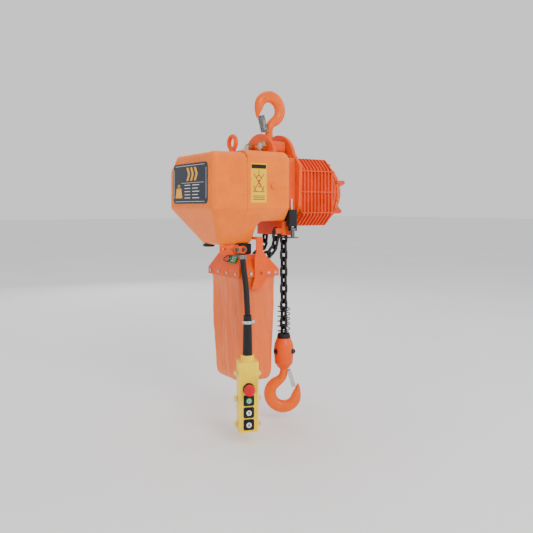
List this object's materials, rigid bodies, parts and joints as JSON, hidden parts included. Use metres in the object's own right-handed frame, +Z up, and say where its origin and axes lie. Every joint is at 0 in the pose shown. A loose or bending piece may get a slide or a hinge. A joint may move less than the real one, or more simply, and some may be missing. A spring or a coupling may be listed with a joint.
{
  "type": "electric chain hoist",
  "caption": "Electric chain hoist on a swivel top hook, with finned motor, gear case, load chain and hook block, chain bag and hanging push-button pendant.",
  "frame": {"origin": "where the top hook's bowl rests on what carries it", "axes": "+Z up, +X along the motor axis towards the motor's end, -Y towards the load chain's side"},
  "size_m": [0.3653, 0.2455, 0.7323],
  "materials": {
    "case_paint": "gloss enamel",
    "frame_paint": "gloss enamel",
    "motor_paint": "gloss enamel",
    "hook_paint": "gloss enamel over forging",
    "latch_steel": "dark plated",
    "zinc_steel": "zinc plated",
    "machined_steel": "machined",
    "black_chain": "black oxide",
    "black_rubber": "satin",
    "black_plastic": "satin",
    "green_plastic": "gloss",
    "red_plastic": "gloss",
    "yellow_plastic": "satin",
    "bag_cloth": "coated canvas, semi-gloss",
    "plate_navy": "printed plate",
    "label_yellow": "printed film"
  },
  "bodies": {
    "hoist_body": {"bag_bracket": "case_paint", "bag_frame": "case_paint", "bag_rivets": "zinc_steel", "bearings": "machined_steel", "brake_coil": "machined_steel", "cable_bracket": "case_paint", "cable_clamp": "zinc_steel", "cable_socket": "black_plastic", "castle_nuts": "zinc_steel", "chain_bag": "bag_cloth", "chain_guide": "frame_paint", "chain_housing": "frame_paint", "contactors": "black_plastic", "control_cover": "case_paint", "cover_screws": "zinc_steel", "eye_bolt": "case_paint", "flange_plate": "frame_paint", "gear_case": "case_paint", "gearbox_cover": "machined_steel", "hook_holder": "frame_paint", "left_ear_plate": "frame_paint", "limit_switch": "black_plastic", "motor_end_cover": "motor_paint", "motor_end_frame": "motor_paint", "motor_housing": "motor_paint", "mounting_panel": "machined_steel", "name_plate": "plate_navy", "power_gland": "black_plastic", "slack_chain": "black_chain", "stator": "machined_steel", "suspension_pins": "frame_paint", "warning_label": "label_yellow"},
    "top_hook": {"top_hook": "hook_paint", "hook_nut": "zinc_steel"},
    "top_latch": {"top_latch": "latch_steel"},
    "load_block": {"hook_block_front": "hook_paint", "hook_block_rear": "hook_paint", "block_bolts": "black_chain", "rubber_buffer": "black_rubber", "buffer_spring": "black_chain", "load_chain": "black_chain"},
    "load_hook": {"load_hook": "hook_paint"},
    "load_latch": {"load_latch": "latch_steel"},
    "sheave": {"load_sheave": "machined_steel", "sheave_gear": "machined_steel"},
    "countershaft": {"countershaft": "machined_steel"},
    "rotor": {"rotor": "machined_steel"},
    "brake_armature": {"brake_armature": "machined_steel"},
    "limit_lever": {"limit_lever": "black_plastic"},
    "pendant": {"pendant_front": "yellow_plastic", "pendant_back": "yellow_plastic", "pendant_screws": "zinc_steel", "contact_block": "black_plastic", "button_frames": "black_plastic", "cable_boot": "black_rubber", "pendant_cable": "black_rubber"},
    "estop_button": {"estop_button": "red_plastic"},
    "start_button": {"start_button": "green_plastic"},
    "up_button": {"up_button": "black_plastic"},
    "down_button": {"down_button": "black_plastic"}
  },
  "joints": [
    {"name": "top_hook_swivel", "type": "hinge", "parent": "hoist_body", "child": "top_hook", "pos_m": [0, 0, 0], "axis": [0, 0, 1], "continuous": true},
    {"name": "top_latch_hinge", "type": "hinge", "parent": "top_hook", "child": "top_latch", "pos_m": [-0.011, 0, -0.0653], "axis": [0, 1, 0], "range_deg": [0, 24], "stiffness_Nm_per_rad": 0.05},
    {"name": "hook_lift", "type": "slide", "parent": "hoist_body", "child": "load_block", "axis": [0, 0, 1], "range_m": [-0.114, 0.0095], "deforming": ["load_chain", "slack_chain"]},
    {"name": "load_hook_swivel", "type": "hinge", "parent": "load_block", "child": "load_hook", "pos_m": [0.0095, -0.0449, -0.6], "axis": [0, 0, 1], "continuous": true},
    {"name": "load_latch_hinge", "type": "hinge", "parent": "load_hook", "child": "load_latch", "pos_m": [0.01851, -0.05121, -0.612], "axis": [0.5736, 0.8191, 0], "range_deg": [0, 24], "stiffness_Nm_per_rad": 0.05},
    {"name": "sheave_spin", "type": "hinge", "parent": "hoist_body", "child": "sheave", "pos_m": [0, -0.008, -0.207], "axis": [1, 0, 0], "range_deg": [-16, 181]},
    {"name": "countershaft_spin", "type": "hinge", "parent": "hoist_body", "child": "countershaft", "pos_m": [0, 0.042, -0.207], "axis": [1, 0, 0], "range_deg": [-821, 69]},
    {"name": "rotor_spin", "type": "hinge", "parent": "hoist_body", "child": "rotor", "pos_m": [0, -0.008, -0.207], "axis": [1, 0, 0], "range_deg": [-480, 5742]},
    {"name": "brake_release", "type": "slide", "parent": "hoist_body", "child": "brake_armature", "axis": [-1, 0, 0], "range_m": [0, 0.0005], "stiffness_N_per_m": 20000},
    {"name": "limit_lever_lift", "type": "hinge", "parent": "hoist_body", "child": "limit_lever", "pos_m": [0, -0.0782, -0.29], "axis": [1, 0, 0], "range_deg": [0, 4], "stiffness_Nm_per_rad": 0.6},
    {"name": "pendant_swing", "type": "hinge", "parent": "hoist_body", "child": "pendant", "pos_m": [-0.114, -0.067, -0.352], "axis": [1, 0, 0], "range_deg": [-30, 0]},
    {"name": "estop_press", "type": "slide", "parent": "pendant", "child": "estop_button", "axis": [0.4067, 0.9135, 0], "range_m": [0, 0.0035], "stiffness_N_per_m": 900},
    {"name": "start_press", "type": "slide", "parent": "pendant", "child": "start_button", "axis": [0.4067, 0.9135, 0], "range_m": [0, 0.003], "stiffness_N_per_m": 500},
    {"name": "up_press", "type": "slide", "parent": "pendant", "child": "up_button", "axis": [0.4067, 0.9135, 0], "range_m": [0, 0.003], "stiffness_N_per_m": 500},
    {"name": "down_press", "type": "slide", "parent": "pendant", "child": "down_button", "axis": [0.4067, 0.9135, 0], "range_m": [0, 0.003], "stiffness_N_per_m": 500}
  ],
  "couplings": [
    {"joint": "sheave_spin", "follows": "hook_lift", "rad_per_m": -27.558},
    {"joint": "countershaft_spin", "follows": "hook_lift", "rad_per_m": 125.54},
    {"joint": "rotor_spin", "follows": "hook_lift", "rad_per_m": -878.79}
  ]
}
